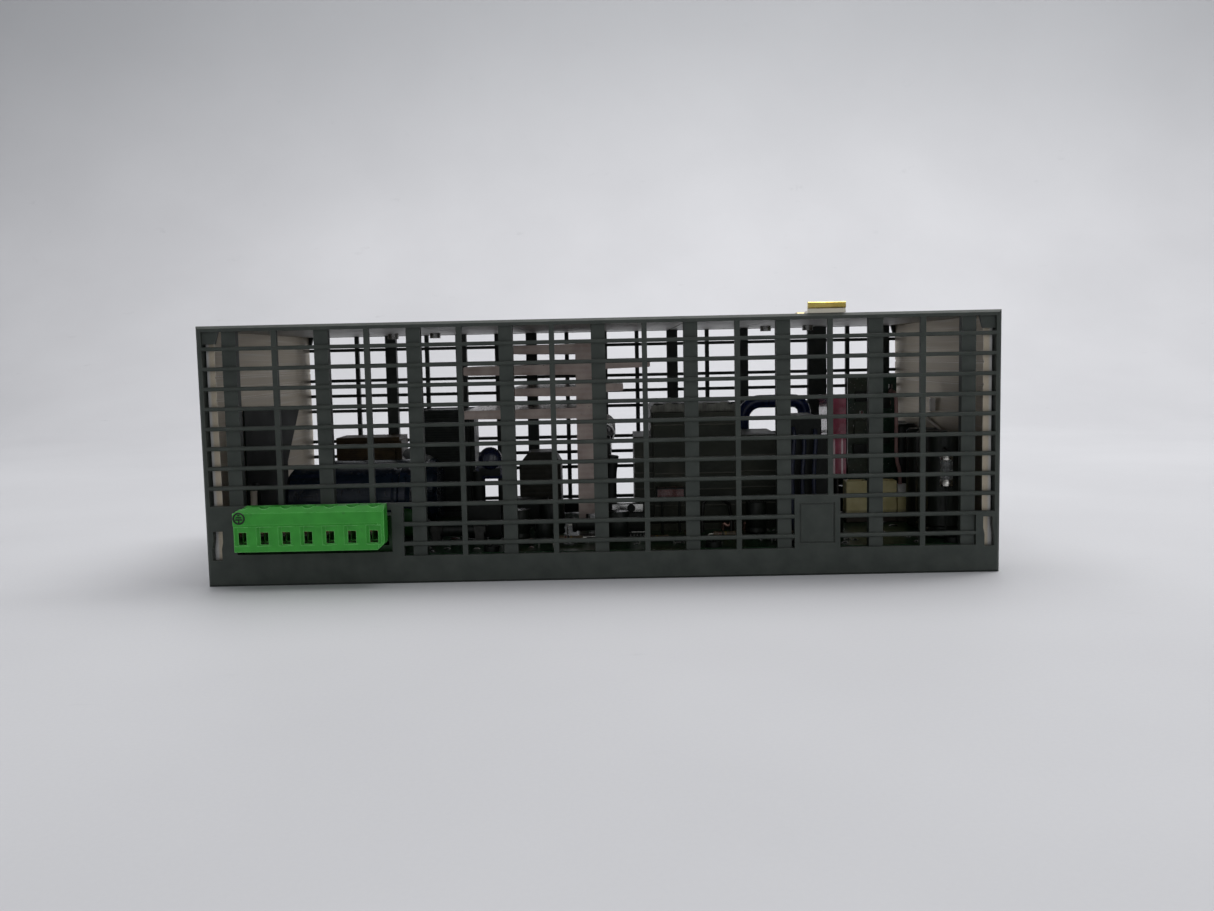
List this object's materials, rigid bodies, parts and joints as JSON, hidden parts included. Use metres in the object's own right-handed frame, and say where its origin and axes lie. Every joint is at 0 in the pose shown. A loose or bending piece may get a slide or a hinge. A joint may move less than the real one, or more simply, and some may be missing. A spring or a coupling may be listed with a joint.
{
  "type": "din rail power supply",
  "caption": "Wide DIN-rail power supply with slatted end grilles, plug-in screw terminals, a sprung rail latch and the circuit board with its parts inside.",
  "frame": {"origin": "centre of the bottom of the part's box, which is on the front cover that the unit lies on", "axes": "+X along the rail to the right as seen from the input end, +Y from the input end to the output end, +Z from the front cover to the rail side"},
  "size_m": [0.28, 0.1404, 0.0959],
  "materials": {
    "grille_plastic": "anthracite moulded, fine spark-eroded texture",
    "wall_aluminium": "drawn aluminium sheet, faint lengthwise grain",
    "cover_plastic": "anthracite moulded",
    "screw_steel": "bright zinc-plated steel",
    "rail_steel": "zinc-plated pressed steel",
    "latch_plating": "yellow-passivated zinc-plated steel",
    "spring_steel": "drawn spring wire",
    "board_green": "solder-masked glass-fibre laminate",
    "control_board_green": "solder-masked glass-fibre laminate",
    "spacer_brass": "turned, bright",
    "plug_green": "moulded polyamide, slight sheen",
    "header_green": "moulded polyamide",
    "contact_copper": "tinned copper alloy strip",
    "pin_tin": "tin-plated",
    "clamp_steel": "zinc-plated steel loop",
    "capacitor_blue": "shrunk sleeve, glossy",
    "choke_brown": "varnished winding and tape",
    "choke_black": "varnished winding",
    "transformer_grey": "ferrite and tape",
    "heat_sink_aluminium": "extruded, dull",
    "transistor_black": "moulded epoxy",
    "transformer_tape": "tape over windings, ferrite core",
    "output_choke_black": "potted",
    "link_blue": "sleeved conductor",
    "film_red": "dipped, glossy",
    "connector_cream": "moulded nylon",
    "capacitor_black": "shrunk sleeve",
    "sheet_black": "thin insulating sheet",
    "trimmer_cream": "moulded",
    "trimmer_blue": "moulded",
    "light_clear": "clear moulded light guide, green tint"
  },
  "bodies": {
    "housing": {"input_end_grille": "grille_plastic", "output_end_grille": "grille_plastic", "left_side_wall": "wall_aluminium", "right_side_wall": "wall_aluminium", "back_panel": "wall_aluminium", "front_cover": "cover_plastic", "housing_screws": "screw_steel", "board_screws": "screw_steel", "rail_hooks": "rail_steel", "latch_guide": "rail_steel", "latch_spring": "spring_steel", "main_board": "board_green", "control_board": "control_board_green", "board_spacers": "spacer_brass", "input_header": "header_green", "output_header": "header_green", "header_pins": "pin_tin", "bulk_capacitors": "capacitor_blue", "input_choke": "choke_brown", "pfc_choke": "choke_black", "standby_transformer": "transformer_grey", "heat_sink": "heat_sink_aluminium", "power_transistors": "transistor_black", "main_transformer": "transformer_tape", "output_choke": "output_choke_black", "link_wire": "link_blue", "film_capacitor": "film_red", "control_headers": "connector_cream", "output_capacitors": "capacitor_black", "insulating_sheet": "sheet_black", "trimmer_base": "trimmer_blue", "status_light": "light_clear"},
    "input_plug": {"input_plug": "plug_green", "input_plug_contacts": "contact_copper"},
    "output_plug": {"output_plug": "plug_green", "output_plug_contacts": "contact_copper"},
    "rail_latch": {"rail_latch": "latch_plating"},
    "voltage_trimmer": {"voltage_trimmer": "trimmer_cream"},
    "input_screw_1": {"input_screw_1": "screw_steel"},
    "input_clamp_1": {"input_clamp_1": "clamp_steel"},
    "input_screw_2": {"input_screw_2": "screw_steel"},
    "input_clamp_2": {"input_clamp_2": "clamp_steel"},
    "input_screw_3": {"input_screw_3": "screw_steel"},
    "input_clamp_3": {"input_clamp_3": "clamp_steel"},
    "input_screw_4": {"input_screw_4": "screw_steel"},
    "input_clamp_4": {"input_clamp_4": "clamp_steel"},
    "input_screw_5": {"input_screw_5": "screw_steel"},
    "input_clamp_5": {"input_clamp_5": "clamp_steel"},
    "input_screw_6": {"input_screw_6": "screw_steel"},
    "input_clamp_6": {"input_clamp_6": "clamp_steel"},
    "input_screw_7": {"input_screw_7": "screw_steel"},
    "input_clamp_7": {"input_clamp_7": "clamp_steel"},
    "output_screw_1": {"output_screw_1": "screw_steel"},
    "output_clamp_1": {"output_clamp_1": "clamp_steel"},
    "output_screw_2": {"output_screw_2": "screw_steel"},
    "output_clamp_2": {"output_clamp_2": "clamp_steel"},
    "output_screw_3": {"output_screw_3": "screw_steel"},
    "output_clamp_3": {"output_clamp_3": "clamp_steel"},
    "output_screw_4": {"output_screw_4": "screw_steel"},
    "output_clamp_4": {"output_clamp_4": "clamp_steel"}
  },
  "joints": [
    {"name": "input_plug_pull", "type": "slide", "parent": "housing", "child": "input_plug", "axis": [0, -1, 0], "range_m": [0, 0.016]},
    {"name": "output_plug_pull", "type": "slide", "parent": "housing", "child": "output_plug", "axis": [0, 1, 0], "range_m": [0, 0.016]},
    {"name": "rail_latch_pull", "type": "slide", "parent": "housing", "child": "rail_latch", "axis": [0, -1, 0], "range_m": [0, 0.0045], "stiffness_N_per_m": 800, "springref_m": -0.002, "deforming": ["latch_spring"]},
    {"name": "voltage_trimmer_turn", "type": "hinge", "parent": "housing", "child": "voltage_trimmer", "pos_m": [0.11, 0.0415, 0.003], "axis": [0, 0, 1], "range_deg": [-135, 135]},
    {"name": "input_screw_1_turn", "type": "hinge", "parent": "input_plug", "child": "input_screw_1", "pos_m": [-0.12475, -0.066, 0.0272], "axis": [0, 0, -1], "range_deg": [0, 2160]},
    {"name": "input_clamp_1_lift", "type": "slide", "parent": "input_plug", "child": "input_clamp_1", "axis": [0, 0, 1], "range_m": [0, 0.003]},
    {"name": "input_screw_2_turn", "type": "hinge", "parent": "input_plug", "child": "input_screw_2", "pos_m": [-0.11713, -0.066, 0.0272], "axis": [0, 0, -1], "range_deg": [0, 2160]},
    {"name": "input_clamp_2_lift", "type": "slide", "parent": "input_plug", "child": "input_clamp_2", "axis": [0, 0, 1], "range_m": [0, 0.003]},
    {"name": "input_screw_3_turn", "type": "hinge", "parent": "input_plug", "child": "input_screw_3", "pos_m": [-0.10951, -0.066, 0.0272], "axis": [0, 0, -1], "range_deg": [0, 2160]},
    {"name": "input_clamp_3_lift", "type": "slide", "parent": "input_plug", "child": "input_clamp_3", "axis": [0, 0, 1], "range_m": [0, 0.003]},
    {"name": "input_screw_4_turn", "type": "hinge", "parent": "input_plug", "child": "input_screw_4", "pos_m": [-0.10189, -0.066, 0.0272], "axis": [0, 0, -1], "range_deg": [0, 2160]},
    {"name": "input_clamp_4_lift", "type": "slide", "parent": "input_plug", "child": "input_clamp_4", "axis": [0, 0, 1], "range_m": [0, 0.003]},
    {"name": "input_screw_5_turn", "type": "hinge", "parent": "input_plug", "child": "input_screw_5", "pos_m": [-0.09427, -0.066, 0.0272], "axis": [0, 0, -1], "range_deg": [0, 2160]},
    {"name": "input_clamp_5_lift", "type": "slide", "parent": "input_plug", "child": "input_clamp_5", "axis": [0, 0, 1], "range_m": [0, 0.003]},
    {"name": "input_screw_6_turn", "type": "hinge", "parent": "input_plug", "child": "input_screw_6", "pos_m": [-0.08665, -0.066, 0.0272], "axis": [0, 0, -1], "range_deg": [0, 2160]},
    {"name": "input_clamp_6_lift", "type": "slide", "parent": "input_plug", "child": "input_clamp_6", "axis": [0, 0, 1], "range_m": [0, 0.003]},
    {"name": "input_screw_7_turn", "type": "hinge", "parent": "input_plug", "child": "input_screw_7", "pos_m": [-0.07903, -0.066, 0.0272], "axis": [0, 0, -1], "range_deg": [0, 2160]},
    {"name": "input_clamp_7_lift", "type": "slide", "parent": "input_plug", "child": "input_clamp_7", "axis": [0, 0, 1], "range_m": [0, 0.003]},
    {"name": "output_screw_1_turn", "type": "hinge", "parent": "output_plug", "child": "output_screw_1", "pos_m": [0.07435, 0.066, 0.0272], "axis": [0, 0, -1], "range_deg": [0, 2160]},
    {"name": "output_clamp_1_lift", "type": "slide", "parent": "output_plug", "child": "output_clamp_1", "axis": [0, 0, 1], "range_m": [0, 0.003]},
    {"name": "output_screw_2_turn", "type": "hinge", "parent": "output_plug", "child": "output_screw_2", "pos_m": [0.06673, 0.066, 0.0272], "axis": [0, 0, -1], "range_deg": [0, 2160]},
    {"name": "output_clamp_2_lift", "type": "slide", "parent": "output_plug", "child": "output_clamp_2", "axis": [0, 0, 1], "range_m": [0, 0.003]},
    {"name": "output_screw_3_turn", "type": "hinge", "parent": "output_plug", "child": "output_screw_3", "pos_m": [0.05911, 0.066, 0.0272], "axis": [0, 0, -1], "range_deg": [0, 2160]},
    {"name": "output_clamp_3_lift", "type": "slide", "parent": "output_plug", "child": "output_clamp_3", "axis": [0, 0, 1], "range_m": [0, 0.003]},
    {"name": "output_screw_4_turn", "type": "hinge", "parent": "output_plug", "child": "output_screw_4", "pos_m": [0.05149, 0.066, 0.0272], "axis": [0, 0, -1], "range_deg": [0, 2160]},
    {"name": "output_clamp_4_lift", "type": "slide", "parent": "output_plug", "child": "output_clamp_4", "axis": [0, 0, 1], "range_m": [0, 0.003]}
  ],
  "couplings": [
    {"joint": "input_screw_1_turn", "follows": "input_clamp_1_lift", "rad_per_m": 12566},
    {"joint": "input_screw_2_turn", "follows": "input_clamp_2_lift", "rad_per_m": 12566},
    {"joint": "input_screw_3_turn", "follows": "input_clamp_3_lift", "rad_per_m": 12566},
    {"joint": "input_screw_4_turn", "follows": "input_clamp_4_lift", "rad_per_m": 12566},
    {"joint": "input_screw_5_turn", "follows": "input_clamp_5_lift", "rad_per_m": 12566},
    {"joint": "input_screw_6_turn", "follows": "input_clamp_6_lift", "rad_per_m": 12566},
    {"joint": "input_screw_7_turn", "follows": "input_clamp_7_lift", "rad_per_m": 12566},
    {"joint": "output_screw_1_turn", "follows": "output_clamp_1_lift", "rad_per_m": 12566},
    {"joint": "output_screw_2_turn", "follows": "output_clamp_2_lift", "rad_per_m": 12566},
    {"joint": "output_screw_3_turn", "follows": "output_clamp_3_lift", "rad_per_m": 12566},
    {"joint": "output_screw_4_turn", "follows": "output_clamp_4_lift", "rad_per_m": 12566}
  ]
}
